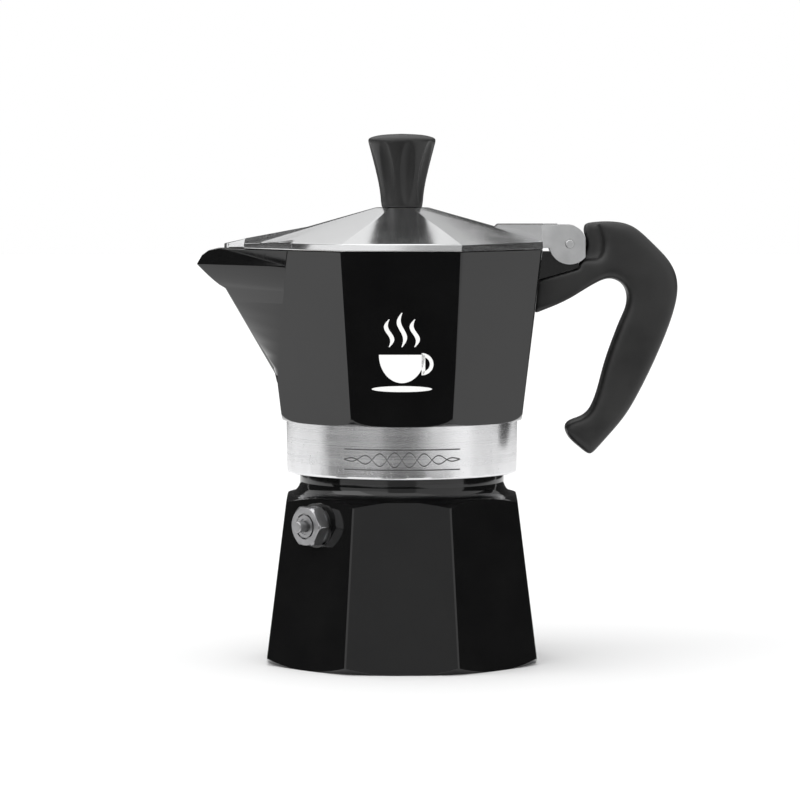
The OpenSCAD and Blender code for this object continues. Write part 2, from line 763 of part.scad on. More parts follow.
// The beak lies over the spout, and slopes from its ridge down to the flange on each side.
module beak(inset) {
  end_x = -(rim_ap + beak_reach) + inset;
  end_w = spout_half_w * (spout_tip_x - end_x + 2.1) / (spout_tip_x - crease_top[0] + 2.1) - inset;
  start_x = -(rim_ap - 16) + inset;
  ridge_z = flange_z + lid_slope * 16 - inset;
  for_side = [-1, 1];
  hull() {
    translate([start_x, 0, lid_z - inset])
      cylinder(r = 0.1, h = ridge_z - lid_z + inset, $fn = 4);
    translate([end_x, 0, lid_z - inset])
      cylinder(r = 0.1, h = flange_t + 0.65, $fn = 4);
    for (side = for_side) {
      translate([crease_top[0] + inset, side * (crease_top[1] - inset), lid_z - inset])
        cylinder(r = 0.1, h = flange_t + 0.3, $fn = 4);
      translate([end_x, side * end_w, lid_z - inset])
        cylinder(r = 0.1, h = 1.5, $fn = 4);
    }
  }
}

module beak_nose() {
  from_x = -(rim_ap + beak_reach) + 2;
  to_x = -(rim_ap + beak_reach + nose_reach);
  hull() {
    translate([from_x, -nose_half_w, lid_z])
      cube([0.2, 2 * nose_half_w, 1.6]);
    translate([from_x, 0, lid_z])
      cylinder(r = 0.1, h = flange_t + 1, $fn = 4);
    for (side = [-1, 1])
      translate([to_x + 2, side * (nose_half_w - 3.4), lid_z])
        cylinder(r = 2, h = 1.25, $fn = small_fn);
  }
}

// An ear from the side, with its origin on the pin.
module ear_side() {
  translate([0, ear_top - ear_r])
    circle(r = ear_r, $fn = mid_fn);
  translate([-ear_back, lid_z - hinge_z])
    square([ear_back, ear_top - (lid_z - hinge_z)]);
  intersection() {
    circle(r = ear_foot_r, $fn = mid_fn);
    translate([-ear_foot_r, -ear_foot_r])
      square([ear_foot_r + ear_r, ear_foot_r + 2]);
  }
}

module lid() {
  color(ALUMINIUM)
    difference() {
      union() {
        translate([0, 0, lid_z])
          octagon(rim_ap, rim_ap, flange_t);
        translate([0, 0, flange_z - eps])
          octagon(rim_ap, knob_seat_r, seat_top_z - flange_z + eps);
        beak(0);
        beak_nose();
        // Ears and the web that joins them to the lid
        for (side = [-1, 1])
          translate([0, side * (ear_in + ear_t / 2), 0])
            beside_hinge(ear_t / 2)
              ear_side();
        beside_hinge(web_half_w)
          polygon([[-hinge_out - 18, web_top - hinge_z - 4.6], [-hinge_out - 13.7, web_top - hinge_z],
            [-3.4, web_top - hinge_z], [-3.4, 0.6], [-hinge_out - 1, 0]]);
      }
      // Hollow under the lid, less the boss for the knob's screw
      difference() {
        union() {
          translate([0, 0, lid_z - 1])
            octagon(rim_ap - 2.2, rim_ap - 2.2, flange_t + 1 - lid_shell + eps);
          translate([0, 0, flange_z - lid_shell])
            octagon(rim_ap - 2.2, knob_seat_r - 2.2, seat_top_z - flange_z);
          beak(lid_shell);
        }
        translate([0, 0, boss_z])
          cylinder(r = knob_seat_r - 1.4, h = 10, $fn = mid_fn);
      }
      translate([slot_x, -ear_in, lid_z - 9])
        cube([30, 2 * ear_in, 30]);
      on_hinge(hinge_pin_r + hinge_play, -20, 20);
      translate([0, 0, boss_z - 1])
        cylinder(r = knob_screw_r + 0.15, h = 10, $fn = small_fn);
    }
}

// Knob outline, turned about the pot's axis, with its origin at the middle of the knob's foot.
function knob_outline() = concat(
  [[0, 0]],
  curve([[knob_foot_r, 0], [knob_foot_r + 0.3, 0.09 * knob_h], [0.64 * knob_r, 0.15 * knob_h],
    [0.685 * knob_r, 0.29 * knob_h], [0.765 * knob_r, 0.46 * knob_h], [0.86 * knob_r, 0.64 * knob_h],
    [0.96 * knob_r, 0.82 * knob_h], [knob_r, 0.9 * knob_h], [knob_r - 0.5, 0.945 * knob_h],
    [0.6 * knob_r, 0.985 * knob_h], [0, knob_h]], 3));

// A ring whose near side cuts one lens-shaped flute. It leans with the knob's flare.
module flute() {
  ring_r = 34;
  tube_r = 3.2;
  mid_z = 0.5 * knob_h;
  mid_r = 0.785 * knob_r;
  translate([mid_r + ring_r + tube_r - flute_depth, 0, mid_z])
    translate([-ring_r - tube_r, 0, 0])
      rotate([0, 12, 0])
        translate([ring_r + tube_r, 0, 0])
          rotate([90, 0, 0])
            rotate_extrude($fn = big_fn)
              translate([ring_r, 0])
                circle(r = tube_r, $fn = small_fn);
}

module knob() {
  color(BLACK_SATIN)
    translate([0, 0, knob_z])
      difference() {
        rotate_extrude($fn = mid_fn)
          polygon(knob_outline());
        for (i = [0:flutes - 1])
          rotate([0, 0, 12 + 360 * i / flutes])
            flute();
        translate([0, 0, -1])
          cylinder(r = insert_r + 0.02, h = knob_bore_h + 1.02, $fn = small_fn);
      }
}

module knob_insert() {
  color(BRASS)
    translate([0, 0, knob_z])
      difference() {
        cylinder(r = insert_r, h = knob_bore_h, $fn = small_fn);
        translate([0, 0, -1])
          cylinder(r = knob_screw_r + 0.02, h = knob_bore_h + 2, $fn = small_fn);
      }
}

module knob_washer() {
  color(STEEL)
    translate([0, 0, boss_z - 0.02 - washer_t])
      difference() {
        cylinder(r = knob_screw_r + 2.4, h = washer_t, $fn = mid_fn);
        translate([0, 0, -1])
          cylinder(r = knob_screw_r + 0.15, h = 3, $fn = small_fn);
      }
}

module knob_screw() {
  head_h = 2.2;
  head_z = boss_z - 0.04 - washer_t - head_h;
  color(STEEL)
    difference() {
      union() {
        translate([0, 0, head_z])
          cylinder(r = knob_screw_r + 1.6, h = head_h, $fn = small_fn);
        translate([0, 0, head_z + head_h - eps])
          cylinder(r = knob_screw_r, h = knob_z + knob_bore_h - 0.6 - head_z - head_h + eps, $fn = small_fn);
      }
      translate([-10, -0.5, head_z - 1])
        cube([20, 1, 2]);
    }
}

boiler();
valve_body();
valve_washer();
valve_bush();
valve_spring();
valve_pin();
valve_seal();
funnel();
funnel_sieve();
gasket();
filter_plate();
collector();
handle();
handle_screw();
hinge_pin();
lid();
knob();
knob_insert();
knob_screw();
knob_washer();
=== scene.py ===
# Moka pot: rounded castings, turned band, lid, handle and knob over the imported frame.
# Everything is in metres. The spout points to -X, the handle to +X, and the front facet faces -Y.
import json
import math

import bpy
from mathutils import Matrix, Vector

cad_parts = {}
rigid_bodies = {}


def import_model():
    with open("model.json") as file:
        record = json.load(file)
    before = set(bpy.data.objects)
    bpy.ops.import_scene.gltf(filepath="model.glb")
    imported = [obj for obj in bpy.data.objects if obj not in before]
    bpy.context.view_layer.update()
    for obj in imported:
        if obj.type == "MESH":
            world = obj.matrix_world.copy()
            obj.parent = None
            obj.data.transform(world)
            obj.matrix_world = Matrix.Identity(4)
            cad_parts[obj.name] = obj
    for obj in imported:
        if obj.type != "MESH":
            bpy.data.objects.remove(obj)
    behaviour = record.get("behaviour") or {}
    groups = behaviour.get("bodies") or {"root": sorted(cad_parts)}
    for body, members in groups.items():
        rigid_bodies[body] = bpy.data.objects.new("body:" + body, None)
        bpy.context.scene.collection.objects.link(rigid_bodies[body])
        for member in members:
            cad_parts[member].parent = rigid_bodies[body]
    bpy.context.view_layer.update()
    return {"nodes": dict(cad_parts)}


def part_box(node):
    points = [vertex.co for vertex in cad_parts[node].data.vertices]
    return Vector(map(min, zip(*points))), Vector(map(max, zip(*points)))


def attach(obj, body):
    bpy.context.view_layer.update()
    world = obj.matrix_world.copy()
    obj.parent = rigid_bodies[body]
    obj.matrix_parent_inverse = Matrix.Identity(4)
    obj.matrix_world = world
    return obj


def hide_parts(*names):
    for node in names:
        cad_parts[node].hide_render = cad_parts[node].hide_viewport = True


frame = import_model()
cad = frame["nodes"]

MM = 0.001
BAND_FOOT_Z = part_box("collector")[0][2]
BAND_HEIGHT = 16.3 * MM
BAND_TOP_Z = BAND_FOOT_Z + BAND_HEIGHT
RIM_Z = 129.2 * MM
FOOT_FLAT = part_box("boiler")[1][1]
# How far a flat moves from the axis for each unit of height
COLLECTOR_FLARE = 0.12
BOILER_LEAN = 0.124
# A flat's distance from the axis at the foot of the collector's flats
COLLECTOR_FOOT = 37.1 * MM
# Half the turn between two ridges, in degrees
HALF_FLAT = 22.5


def collector_flat(z):
    """Distance from the axis to the middle of a collector flat at height z."""
    return COLLECTOR_FOOT + COLLECTOR_FLARE * (z - BAND_TOP_Z)


def boiler_flat(z):
    """Distance from the axis to the middle of a boiler flat at height z."""
    return FOOT_FLAT - BOILER_LEAN * z


def on_a_ridge(point, flat, slack):
    """True if the point lies on a ridge between two flats, flat being the distance to a flat there."""
    radius = math.hypot(point.x, point.y)
    turn = (math.degrees(math.atan2(point.y, point.x)) - HALF_FLAT) % (2 * HALF_FLAT)
    near = min(turn, 2 * HALF_FLAT - turn)
    return abs(radius - flat / math.cos(math.radians(HALF_FLAT))) < slack and near < 1.5


def is_ridge(a, b, flat_at):
    """True for an edge up a ridge, flat_at(z) being the distance to a flat at height z."""
    on_both = all(on_a_ridge(end, flat_at(end.z), 0.6 * MM) for end in (a, b))
    return on_both and abs(a.z - b.z) > 5 * MM


# Working with pieces -------------------------------------------------------------------------

def pick(piece):
    """Leaves only this piece selected and active, in object mode."""
    if bpy.context.object and bpy.context.object.mode != "OBJECT":
        bpy.ops.object.mode_set(mode="OBJECT")
    bpy.ops.object.select_all(action="DESELECT")
    piece.select_set(True)
    bpy.context.view_layer.objects.active = piece


def copy_of(node, name, reach=0.002 * MM):
    """A copy of a CAD node's mesh, with points nearer than reach merged and its flat faces joined."""
    pick(cad[node])
    bpy.ops.object.duplicate()
    piece = bpy.context.object
    bpy.ops.object.parent_clear(type="CLEAR_KEEP_TRANSFORM")
    piece.name = name
    piece.data.name = name
    piece.data.materials.clear()
    bpy.ops.object.mode_set(mode="EDIT")
    bpy.ops.mesh.select_all(action="SELECT")
    bpy.ops.mesh.remove_doubles(threshold=reach)
    bpy.ops.mesh.dissolve_limited(angle_limit=math.radians(0.4))
    bpy.ops.object.mode_set(mode="OBJECT")
    return piece


def edge_angles(mesh):
    """The angle between the two faces of each edge, in degrees, and 0 where there aren't two."""
    faces_of = {}
    for face in mesh.polygons:
        for key in face.edge_keys:
            faces_of.setdefault(key, []).append(face.normal)
    angles = []
    for edge in mesh.edges:
        normals = faces_of.get(tuple(sorted(edge.vertices)), [])
        angles.append(math.degrees(normals[0].angle(normals[1], 0)) if len(normals) == 2 else 0)
    return angles


def round_edges(piece, rule, width, steps):
    """Bevels the edges for which rule(one end, other end, angle) holds."""
    mesh = piece.data
    angles = edge_angles(mesh)
    pick(piece)
    bpy.ops.object.mode_set(mode="EDIT")
    bpy.ops.mesh.select_mode(type="EDGE")
    bpy.ops.mesh.select_all(action="DESELECT")
    bpy.ops.object.mode_set(mode="OBJECT")
    chosen = 0
    for edge, angle in zip(mesh.edges, angles):
        a = mesh.vertices[edge.vertices[0]].co
        b = mesh.vertices[edge.vertices[1]].co
        edge.select = rule(a, b, angle)
        chosen += edge.select
    bpy.ops.object.mode_set(mode="EDIT")
    if chosen:
        bpy.ops.mesh.bevel(offset=width, offset_type="OFFSET", segments=steps, profile=0.5,
                           affect="EDGES", clamp_overlap=False)
    bpy.ops.object.mode_set(mode="OBJECT")
    return chosen


def smooth(piece, angle=32, weighted=True):
    """Smooth shading, with edges sharper than the angle left sharp and broad faces kept flat."""
    pick(piece)
    bpy.ops.object.shade_smooth_by_angle(angle=math.radians(angle))
    if weighted:
        bpy.ops.object.modifier_add(type="WEIGHTED_NORMAL")
        piece.modifiers[-1].weight = 100
        piece.modifiers[-1].keep_sharp = True
        bpy.ops.object.modifier_apply(modifier=piece.modifiers[-1].name)


def melt(piece, voxel, rounds, more=0, where=None):
    """Rounds the whole piece, as a moulding is rounded: an even mesh, then smoothed.

    where(point) says, from 0 to 1, how much of the further rounds each point takes.
    """
    pick(piece)
    bpy.ops.object.modifier_add(type="REMESH")
    piece.modifiers[-1].mode = "VOXEL"
    piece.modifiers[-1].voxel_size = voxel
    bpy.ops.object.modifier_apply(modifier=piece.modifiers[-1].name)
    bpy.ops.object.modifier_add(type="SMOOTH")
    piece.modifiers[-1].factor = 0.5
    piece.modifiers[-1].iterations = rounds
    bpy.ops.object.modifier_apply(modifier=piece.modifiers[-1].name)
    if where:
        group = piece.vertex_groups.new(name="softer")
        for point in piece.data.vertices:
            group.add([point.index], where(point.co), "REPLACE")
        bpy.ops.object.modifier_add(type="SMOOTH")
        piece.modifiers[-1].factor = 0.5
        piece.modifiers[-1].iterations = more
        piece.modifiers[-1].vertex_group = "softer"
        bpy.ops.object.modifier_apply(modifier=piece.modifiers[-1].name)
        piece.vertex_groups.clear()
    bpy.ops.object.shade_smooth()


def finish_faces(piece, *finishes):
    """Gives the piece its finishes. Each is a material, or a (material, rule(centre, normal)) pair."""
    for finish in finishes:
        piece.data.materials.append(finish if isinstance(finish, bpy.types.Material) else finish[0])
    for index, finish in enumerate(finishes):
        if isinstance(finish, tuple):
            for face in piece.data.polygons:
                if finish[1](face.center, face.normal):
                    face.material_index = index


def stands_for(piece, body, slot, *names):
    """The piece moves with the body and replaces the CAD nodes. The slot is not used."""
    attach(piece, body)
    if names:
        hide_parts(*names)


# Node groups ---------------------------------------------------------------------------------

def new_group(name, inputs, outputs):
    """An empty shader group. Inputs are (name, kind, value) and outputs (name, kind)."""
    tree = bpy.data.node_groups.new(name, "ShaderNodeTree")
    for label, kind, value in inputs:
        socket = tree.interface.new_socket(name=label, in_out="INPUT", socket_type=kind)
        if value is not None:
            socket.default_value = value
    for label, kind in outputs:
        tree.interface.new_socket(name=label, in_out="OUTPUT", socket_type=kind)
    start = tree.nodes.new("NodeGroupInput")
    end = tree.nodes.new("NodeGroupOutput")
    return tree, start, end


def add(tree, kind, **settings):
    """A new node in the tree, with its settings."""
    node = tree.nodes.new(kind)
    for key, value in settings.items():
        setattr(node, key, value)
    return node


def maths(tree, operation, a, b=None, c=None):
    """A Math node's output. Each operand is a socket or a number."""
    node = add(tree, "ShaderNodeMath", operation=operation)
    for slot, value in enumerate((a, b, c)):
        if value is None:
            continue
        if isinstance(value, bpy.types.NodeSocket):
            tree.links.new(value, node.inputs[slot])
        else:
            node.inputs[slot].default_value = value
    return node.outputs[0]


def spread(tree, value, low, high, to_low, to_high):
    """A Map Range node's output, held inside its range."""
    node = add(tree, "ShaderNodeMapRange", clamp=True)
    tree.links.new(value, node.inputs["Value"])
    for label, limit in zip(("From Min", "From Max", "To Min", "To Max"), (low, high, to_low, to_high)):
        if isinstance(limit, bpy.types.NodeSocket):
            tree.links.new(limit, node.inputs[label])
        else:
            node.inputs[label].default_value = limit
    return node.outputs["Result"]


def noise(tree, vector, scale, detail=2.0, roughness=0.5):
    """A Noise Texture's factor."""
    node = add(tree, "ShaderNodeTexNoise")
    tree.links.new(vector, node.inputs["Vector"])
    if isinstance(scale, bpy.types.NodeSocket):
        tree.links.new(scale, node.inputs["Scale"])
    else:
        node.inputs["Scale"].default_value = scale
    node.inputs["Detail"].default_value = detail
    node.inputs["Roughness"].default_value = roughness
    return node.outputs["Fac"]


def make_grain_group():
    """Fine grain with broad clouds over it, for cast, moulded and sprayed surfaces."""
    tree, start, end = new_group(
        "Surface grain",
        [("Vector", "NodeSocketVector", None), ("Grain Scale", "NodeSocketFloat", 900.0),
         ("Cloud Scale", "NodeSocketFloat", 40.0), ("Low", "NodeSocketFloat", 0.2),
         ("High", "NodeSocketFloat", 0.3)],
        [("Roughness", "NodeSocketFloat"), ("Clouds", "NodeSocketFloat"), ("Height", "NodeSocketFloat")])
    fine = noise(tree, start.outputs["Vector"], start.outputs["Grain Scale"], 3.0, 0.6)
    broad = noise(tree, start.outputs["Vector"], start.outputs["Cloud Scale"], 4.0, 0.55)
    mixed = maths(tree, "MULTIPLY_ADD", fine, 0.35, maths(tree, "MULTIPLY", broad, 0.65))
    tree.links.new(spread(tree, mixed, 0.32, 0.68, start.outputs["Low"], start.outputs["High"]),
                   end.inputs["Roughness"])
    tree.links.new(spread(tree, broad, 0.3, 0.7, 0.0, 1.0), end.inputs["Clouds"])
    tree.links.new(fine, end.inputs["Height"])
    return tree


def make_turned_group():
    """Fine rings left by a lathe that turned about the pot's axis."""
    tree, start, end = new_group(
        "Turned rings",
        [("Vector", "NodeSocketVector", None), ("Rings", "NodeSocketFloat", 3000.0),
         ("Low", "NodeSocketFloat", 0.2), ("High", "NodeSocketFloat", 0.32)],
        [("Roughness", "NodeSocketFloat"), ("Bright", "NodeSocketFloat"), ("Height", "NodeSocketFloat")])
    split = add(tree, "ShaderNodeSeparateXYZ")
    tree.links.new(start.outputs["Vector"], split.inputs[0])
    x_squared = maths(tree, "MULTIPLY", split.outputs[0], split.outputs[0])
    y_squared = maths(tree, "MULTIPLY", split.outputs[1], split.outputs[1])
    radius = maths(tree, "SQRT", maths(tree, "ADD", x_squared, y_squared))
    along = maths(tree, "ADD", split.outputs[2], radius)
    line = add(tree, "ShaderNodeCombineXYZ")
    tree.links.new(along, line.inputs[2])
    rings = noise(tree, line.outputs[0], start.outputs["Rings"], 2.0, 0.7)
    wide = noise(tree, line.outputs[0], maths(tree, "MULTIPLY", start.outputs["Rings"], 0.12), 2.0, 0.5)
    both = maths(tree, "MULTIPLY_ADD", rings, 0.6, maths(tree, "MULTIPLY", wide, 0.4))
    tree.links.new(spread(tree, both, 0.3, 0.7, start.outputs["Low"], start.outputs["High"]),
                   end.inputs["Roughness"])
    tree.links.new(spread(tree, wide, 0.3, 0.7, 0.94, 1.0), end.inputs["Bright"])
    tree.links.new(both, end.inputs["Height"])
    return tree


def make_scratch_group():
    """Short hair scratches and rubbed spots, for polished metal that has been used."""
    tree, start, end = new_group(
        "Hair scratches",
        [("Vector", "NodeSocketVector", None), ("Scale", "NodeSocketFloat", 260.0)],
        [("Scratches", "NodeSocketFloat"), ("Rubbed", "NodeSocketFloat")])
    lines = []
    for turn in (0.35, 1.9, 2.7):
        placed = add(tree, "ShaderNodeMapping")
        placed.inputs["Rotation"].default_value = (0.2 * turn, 0.5 * turn, turn)
        placed.inputs["Scale"].default_value = (1.0, 0.035, 0.3)
        tree.links.new(start.outputs["Vector"], placed.inputs["Vector"])
        fine_scale = maths(tree, "MULTIPLY", start.outputs["Scale"], 9.0)
        streaks = noise(tree, placed.outputs[0], fine_scale, 1.0, 0.4)
        lines.append(spread(tree, streaks, 0.66, 0.74, 0.0, 1.0))
    most = maths(tree, "MAXIMUM", maths(tree, "MAXIMUM", lines[0], lines[1]), lines[2])
    rubbed = spread(tree, noise(tree, start.outputs["Vector"], start.outputs["Scale"], 4.0, 0.6),
                    0.42, 0.66, 0.0, 1.0)
    tree.links.new(maths(tree, "MULTIPLY", most, rubbed), end.inputs["Scratches"])
    tree.links.new(rubbed, end.inputs["Rubbed"])
    return tree


surface_grain = make_grain_group()
turned_rings = make_turned_group()
hair_scratches = make_scratch_group()


# Finishes ------------------------------------------------------------------------------------

def new_finish(name, colour, **constants):
    """A material with its Principled shader, and the Object coordinates that its patterns read."""
    material = bpy.data.materials.new(name)
    material.use_nodes = True
    tree = material.node_tree
    shader = tree.nodes["Principled BSDF"]
    shader.inputs["Base Color"].default_value = (*colour, 1)
    for label, value in constants.items():
        shader.inputs[label.replace("_", " ")].default_value = value
    place = add(tree, "ShaderNodeTexCoord").outputs["Object"]
    return material, tree, shader, place


def use_group(tree, group, place, **values):
    """The group placed in a material, with its own values."""
    node = add(tree, "ShaderNodeGroup", node_tree=group)
    tree.links.new(place, node.inputs["Vector"])
    for label, value in values.items():
        node.inputs[label.replace("_", " ")].default_value = value
    return node


def tint(tree, factor, low, high):
    """A colour that goes from low to high with the factor."""
    node = add(tree, "ShaderNodeMix", data_type="RGBA")
    tree.links.new(factor, node.inputs["Factor"])
    # The colour sockets are the third pair of a Mix node
    node.inputs[6].default_value = (*low, 1)
    node.inputs[7].default_value = (*high, 1)
    return node.outputs[2]


def bump(tree, shader, height, distance, strength=1.0):
    """Feeds a height to the shader's normal."""
    node = add(tree, "ShaderNodeBump")
    node.inputs["Strength"].default_value = strength
    node.inputs["Distance"].default_value = distance
    tree.links.new(height, node.inputs["Height"])
    tree.links.new(node.outputs["Normal"], shader.inputs["Normal"])


def make_enamel():
    """Baked gloss black enamel, a little wavy, with a few faint rubbed spots."""
    material, tree, shader, place = new_finish("Black enamel", (0.004, 0.004, 0.004), IOR=1.5)
    grain = use_group(tree, surface_grain, place, Grain_Scale=420.0, Cloud_Scale=55.0, Low=0.05, High=0.11)
    worn = use_group(tree, hair_scratches, place, Scale=180.0)
    rough = maths(tree, "MULTIPLY_ADD", worn.outputs["Scratches"], 0.05, grain.outputs["Roughness"])
    tree.links.new(rough, shader.inputs["Roughness"])
    tree.links.new(tint(tree, grain.outputs["Clouds"], (0.0032, 0.0032, 0.0034), (0.005, 0.005, 0.005)),
                   shader.inputs["Base Color"])
    bump(tree, shader, grain.outputs["Height"], 0.00001, 0.35)
    return material


def make_turned_aluminium(name, low, high, engraved):
    """Turned bare aluminium. The band also carries an engraved ornament of two crossing waves."""
    material, tree, shader, place = new_finish(name, (0.78, 0.785, 0.79), Metallic=1.0)
    rings = use_group(tree, turned_rings, place, Rings=2600.0, Low=low, High=high)
    worn = use_group(tree, hair_scratches, place, Scale=240.0)
    rough = maths(tree, "MULTIPLY_ADD", worn.outputs["Scratches"], 0.03, rings.outputs["Roughness"])
    colour = tint(tree, rings.outputs["Bright"], (0.69, 0.69, 0.695), (0.78, 0.78, 0.79))
    height = rings.outputs["Height"]
    if engraved:
        line = engraved_ornament(tree, place)
        rough = maths(tree, "MULTIPLY_ADD", line, 0.25, rough)
        cut = add(tree, "ShaderNodeMix", data_type="RGBA")
        tree.links.new(line, cut.inputs["Factor"])
        tree.links.new(colour, cut.inputs[6])
        cut.inputs[7].default_value = (0.09, 0.09, 0.09, 1)
        colour = cut.outputs[2]
        height = maths(tree, "MULTIPLY_ADD", line, -6.0, height)
    tree.links.new(rough, shader.inputs["Roughness"])
    tree.links.new(colour, shader.inputs["Base Color"])
    bump(tree, shader, height, 0.000006, 0.3)
    return material


def engraved_ornament(tree, place):
    """A mask of thin engraved lines on the front of the band: two waves that cross, and a line each side."""
    split = add(tree, "ShaderNodeSeparateXYZ")
    tree.links.new(place, split.inputs[0])
    x, y, z = split.outputs
    middle = BAND_FOOT_Z + 6.2 * MM
    up = maths(tree, "SUBTRACT", z, middle)
    phase = maths(tree, "MULTIPLY", x, 2 * math.pi / (9.2 * MM))
    swelling = maths(tree, "COSINE", maths(tree, "MULTIPLY", x, math.pi / (37 * MM)))
    swell = maths(tree, "MULTIPLY", swelling, 2.3 * MM)
    wave = maths(tree, "MULTIPLY", maths(tree, "SINE", phase), swell)
    marks = []
    for turned in (wave, maths(tree, "MULTIPLY", wave, -1.0)):
        marks.append(maths(tree, "ABSOLUTE", maths(tree, "SUBTRACT", up, turned)))
    frame_line = maths(tree, "ABSOLUTE", maths(tree, "SUBTRACT", maths(tree, "ABSOLUTE", up), 3.1 * MM))
    nearest = maths(tree, "MINIMUM", maths(tree, "MINIMUM", marks[0], marks[1]), frame_line)
    line = spread(tree, nearest, 0.14 * MM, 0.25 * MM, 1.0, 0.0)
    wide = spread(tree, maths(tree, "ABSOLUTE", x), 17.6 * MM, 18.0 * MM, 1.0, 0.0)
    front = maths(tree, "LESS_THAN", y, -20 * MM)
    return maths(tree, "MULTIPLY", maths(tree, "MULTIPLY", line, wide), front)


def make_polished_aluminium():
    """The lid's buffed aluminium, with hair scratches and slightly duller patches."""
    material, tree, shader, place = new_finish("Buffed aluminium", (0.8, 0.805, 0.81), Metallic=1.0)
    grain = use_group(tree, surface_grain, place, Grain_Scale=1500.0, Cloud_Scale=60.0, Low=0.13, High=0.24)
    worn = use_group(tree, hair_scratches, place, Scale=160.0)
    rough = maths(tree, "MULTIPLY_ADD", worn.outputs["Scratches"], 0.05, grain.outputs["Roughness"])
    tree.links.new(rough, shader.inputs["Roughness"])
    tree.links.new(tint(tree, grain.outputs["Clouds"], (0.72, 0.725, 0.73), (0.8, 0.805, 0.81)),
                   shader.inputs["Base Color"])
    height = maths(tree, "MULTIPLY_ADD", worn.outputs["Scratches"], -0.12, grain.outputs["Height"])
    bump(tree, shader, height, 0.000006, 0.35)
    return material


def make_cast_aluminium():
    """Cast aluminium inside the castings, dulled by coffee and water."""
    material, tree, shader, place = new_finish("Cast aluminium", (0.7, 0.69, 0.67), Metallic=1.0)
    grain = use_group(tree, surface_grain, place, Grain_Scale=1300.0, Cloud_Scale=110.0, Low=0.4, High=0.54)
    tree.links.new(grain.outputs["Roughness"], shader.inputs["Roughness"])
    tree.links.new(tint(tree, grain.outputs["Clouds"], (0.58, 0.57, 0.55), (0.7, 0.69, 0.68)),
                   shader.inputs["Base Color"])
    bump(tree, shader, grain.outputs["Height"], 0.00004, 0.7)
    return material


def make_moulded_plastic():
    """Satin black phenolic plastic of the grip and the knob, finely grained."""
    material, tree, shader, place = new_finish("Moulded black plastic", (0.012, 0.012, 0.012), IOR=1.5)
    grain = use_group(tree, surface_grain, place, Grain_Scale=2200.0, Cloud_Scale=70.0, Low=0.38, High=0.52)
    worn = use_group(tree, hair_scratches, place, Scale=200.0)
    rough = maths(tree, "MULTIPLY_ADD", worn.outputs["Scratches"], 0.1, grain.outputs["Roughness"])
    tree.links.new(rough, shader.inputs["Roughness"])
    tree.links.new(tint(tree, grain.outputs["Clouds"], (0.008, 0.008, 0.008), (0.015, 0.0148, 0.0145)),
                   shader.inputs["Base Color"])
    bump(tree, shader, grain.outputs["Height"], 0.00002, 0.5)
    return material


def make_metal(name, dark, light, low, high):
    """A small turned metal part: steel, brass or spun aluminium sheet."""
    material, tree, shader, place = new_finish(name, light, Metallic=1.0)
    grain = use_group(tree, surface_grain, place, Grain_Scale=2400.0, Cloud_Scale=150.0, Low=low, High=high)
    tree.links.new(grain.outputs["Roughness"], shader.inputs["Roughness"])
    tree.links.new(tint(tree, grain.outputs["Clouds"], dark, light), shader.inputs["Base Color"])
    bump(tree, shader, grain.outputs["Height"], 0.000012, 0.5)
    return material


def make_soft(name, dark, light, low, high):
    """Silicone of the seals, or the flat white paint of the mark."""
    material, tree, shader, place = new_finish(name, light, IOR=1.42)
    grain = use_group(tree, surface_grain, place, Grain_Scale=1600.0, Cloud_Scale=120.0, Low=low, High=high)
    tree.links.new(grain.outputs["Roughness"], shader.inputs["Roughness"])
    tree.links.new(tint(tree, grain.outputs["Clouds"], dark, light), shader.inputs["Base Color"])
    bump(tree, shader, grain.outputs["Height"], 0.00001, 0.4)
    return material


enamel = make_enamel()
band_metal = make_turned_aluminium("Turned band aluminium", 0.2, 0.32, True)
turned_metal = make_turned_aluminium("Turned aluminium", 0.24, 0.4, False)
lid_metal = make_polished_aluminium()
satin_metal = make_metal("Satin aluminium", (0.66, 0.665, 0.67), (0.78, 0.785, 0.79), 0.3, 0.42)
cast_metal = make_cast_aluminium()
plastic = make_moulded_plastic()
steel = make_metal("Turned steel", (0.3, 0.3, 0.305), (0.46, 0.46, 0.47), 0.28, 0.42)
brass = make_metal("Brass", (0.6, 0.43, 0.17), (0.8, 0.6, 0.28), 0.22, 0.36)
sheet_metal = make_metal("Spun aluminium sheet", (0.68, 0.68, 0.69), (0.8, 0.8, 0.81), 0.26, 0.4)
silicone = make_soft("White silicone", (0.74, 0.73, 0.7), (0.84, 0.83, 0.8), 0.45, 0.6)
white_paint = make_soft("White paint", (0.82, 0.82, 0.81), (0.9, 0.9, 0.89), 0.3, 0.42)


# Boiler --------------------------------------------------------------------------------------

def make_boiler():
    piece = copy_of("boiler", "boiler_casting")
    round_edges(piece, lambda a, b, angle: angle > 30 and is_ridge(a, b, boiler_flat), 0.5 * MM, 3)
    smooth(piece, 24)
    finish_faces(
        piece, enamel,
        (cast_metal, lambda c, n: n.x * c.x + n.y * c.y < 0 or (abs(n.z) > 0.9 and c.z > 3.0 * MM
                                                              and math.hypot(c.x, c.y) < 30 * MM)),
        (turned_metal, lambda c, n: math.hypot(c.x, c.y) < 33 * MM and c.z > 61.2 * MM))
    stands_for(piece, "boiler", "black_enamel", "boiler")


# Collector -----------------------------------------------------------------------------------

def is_inside(c, n):
    """True for the faces of the coffee space, the spout's channel and the column."""
    if c.z < BAND_TOP_Z + 1 * MM:
        return False
    towards = n.x * (c.x + 30 * MM) + n.y * c.y if c.x < -38 * MM else n.x * c.x + n.y * c.y
    flat = max(c.x * math.cos(math.radians(45 * k)) + c.y * math.sin(math.radians(45 * k)) for k in range(8))
    deep = flat < collector_flat(c.z) - 1.6 * MM
    return deep or (towards < 0 and c.x < 44 * MM)


def is_lip(c, n):
    """True for the rim's top and the bevel on the spout's lip."""
    return n.z > 0.3 and c.z > RIM_Z - 6 * MM and (c.x < -44 * MM or c.z > RIM_Z - 0.2 * MM)


